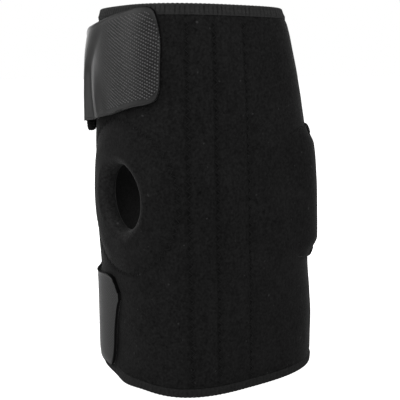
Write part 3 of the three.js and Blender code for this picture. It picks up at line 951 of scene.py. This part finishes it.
def hook_field(name, table, relief, full_size):
    """The raised heads of the hooks, in slanting rows that stay clear of the tape's selvedges.

    full_size gives how large a head is at its place along the tape, because folded tape is worn smooth.
    """
    random = np.random.default_rng(9)
    columns = np.arange(table[0, 0] + HOOK_ACROSS, table[-1, 0], HOOK_ACROSS)
    number, level = np.meshgrid(np.arange(len(columns)), np.arange(0, HEIGHT, HOOK_UP))
    number, level = number.ravel(), level.ravel()
    along = columns[number] + random.normal(0, HOOK_SCATTER, number.size)
    height = level - HOOK_SLANT * number % HOOK_UP + random.normal(0, HOOK_SCATTER, number.size)
    places = np.linspace(0, len(table) - 1, TABLE_POINTS)
    place = np.interp(along, row_at(table, places)[:, 0], places)
    bottom, top = row_at(table, place).T[1:3]
    up = (height - bottom) / (top - bottom)
    size = random.uniform(*HOOK_SIZES, len(up)) * full_size(along)
    kept = (edge_inset(table, place, up) > SELVEDGE) & (size > SMALLEST_HOOK)
    place, up, size = place[kept], up[kept], size[kept]
    turn, height, inside = strip_spot(table, place, up)
    face = inside + relief(turn, height, place, up)[0] + HOOK_TAPE
    spots = leg_point(turn, height, face)
    slanted = leg_point(turn_at(along_at(turn, height) + HOOK_ACROSS, height), height - HOOK_SLANT, face)
    heads = []
    for spot, above, beside, scale in zip(spots, leg_point(turn, height, face + 1), slanted, size):
        spot, outward = Vector(spot), Vector(above - spot)
        across = outward.cross(Vector(beside) - spot).normalized()
        turned = Matrix((across.cross(outward), across, outward)).transposed().to_4x4()
        shaped = Matrix.Diagonal((HOOK_LENGTH * scale, HOOK_WIDTH * scale, HOOK_HEIGHT * scale, 1))
        heads.append(Matrix.Translation(spot * MM) @ turned @ shaped)
    hooks = repeated(name, heads, hook_heads)
    return hooks


def tab(name, node, table, material, relief, full_size):
    piece = strip_piece(name, table, TAB_STEP, TAB_ROWS, HOOK_TAPE, material, relief, "inset", TAB_ROUND,
                        tape_edge_shade)
    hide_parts(node)
    hooks = hook_field(node + "_hooks", table, relief, full_size)


tab("upper_tab_hook_tape", "upper_tab", UPPER_TAB, upper_tape, upper_tab_relief,
    lambda along: smooth(along, *UPPER_HOOKS))
tab("lower_tab_hook_tape", "lower_tab", LOWER_TAB, lower_tape, lower_tab_relief,
    lambda along: np.full(len(along), LOWER_HOOKS))


# The stage is a plain white floor and backdrop, which glow white for the camera only. The floor inside
# the sleeve stays in its shade. Soft studio light comes from five panels, at the front left, above the
# camera, overhead, on the left and behind on the right, and from pale surroundings.
SURROUNDINGS, BACKDROP, FLOOR_GLOW = 0.4, 1.0, 0.9
FLOOR_HALF, FLOOR_TONES = 12, (0.88, 0.9)
SHADED_SIDES, SHADED_LIFT = 90, 0.05
CAMERA_SPOT = Vector((0.5156, -0.3363, 0.238))
CAMERA_AIM = Vector((0.0032, -0.0035, 0.133))
CAMERA_LENS, CAMERA_SHIFT = 70.35, 0.006
LIGHTS = (  # name, place, width and height, power
    ("left_light", (-0.75, -1.35, 0.8), (0.9, 1.2), 11.0),
    ("front_light", (1.2, -0.9, 0.8), (0.6, 0.6), 8.5),
    ("top_light", (0.25, -0.15, 0.72), (0.5, 0.5), 1.1),
    ("left_rim_light", (-1.5, 0.1, 0.5), (0.9, 0.9), 4.5),
    ("right_light", (0.75, 1.3, 0.7), (0.6, 0.8), 5.0),
)


def seen_by_camera(tree, seen, unseen):
    ray = shader_node(tree, "ShaderNodeLightPath").outputs["Is Camera Ray"]
    return value_math(tree, "MULTIPLY_ADD", ray, seen - unseen, unseen)


def floor_piece(name, bm, glow):
    material, tree, shader = bare_material(name, {
        "Roughness": 0.9, "Specular IOR Level": 0.0, "Emission Color": grey(1),
    })
    tree.links.new(seen_by_camera(tree, glow, 0.0), shader.inputs["Emission Strength"])
    tone = cloudy(tree, object_place(tree), scale=3, detail=1)
    dark, light = FLOOR_TONES
    tree.links.new(color_mix(tree, tone, grey(dark), grey(light)), shader.inputs["Base Color"])
    mesh = bpy.data.meshes.new(name)
    bm.to_mesh(mesh)
    bm.free()
    mesh.materials.append(material)
    linked(name, mesh)


def aimed(name, data, spot):
    made = linked(name, data)
    made.location = spot
    made.rotation_euler = (CAMERA_AIM - spot).to_track_quat("-Z", "Y").to_euler()
    return made


ground = bmesh.new()
bmesh.ops.create_grid(ground, x_segments=8, y_segments=8, size=FLOOR_HALF)
floor_piece("floor", ground, FLOOR_GLOW)
shaded = bmesh.new()
bmesh.ops.create_circle(shaded, cap_ends=True, segments=SHADED_SIDES, radius=1)
for number, vertex in enumerate(shaded.verts):
    turn = OUTER_END - 360 / SHADED_SIDES * number
    vertex.co = Vector(leg_point(turn, SHADED_LIFT, lap_lift(turn) - WALL / 2)) * MM
bmesh.ops.recalc_face_normals(shaded, faces=shaded.faces)
floor_piece("floor_inside_the_sleeve", shaded, 0.0)

world = bpy.data.worlds.new("studio")
world.use_nodes = True
backdrop = world.node_tree.nodes["Background"].inputs
backdrop["Color"].default_value = grey(1)
world.node_tree.links.new(seen_by_camera(world.node_tree, BACKDROP, SURROUNDINGS), backdrop["Strength"])
bpy.context.scene.world = world
bpy.context.scene.view_settings.view_transform = "Standard"

for name, spot, size, power in LIGHTS:
    light = bpy.data.lights.new(name, "AREA")
    light.shape = "RECTANGLE"
    light.size, light.size_y = size
    light.energy = power
    aimed(name, light, Vector(spot))

camera_data = bpy.data.cameras.new("camera")
camera_data.sensor_width = 36
camera_data.lens = CAMERA_LENS
camera_data.shift_x = CAMERA_SHIFT
camera_data.clip_start, camera_data.clip_end = 0.01, 100
bpy.context.scene.camera = aimed("camera", camera_data, CAMERA_SPOT)
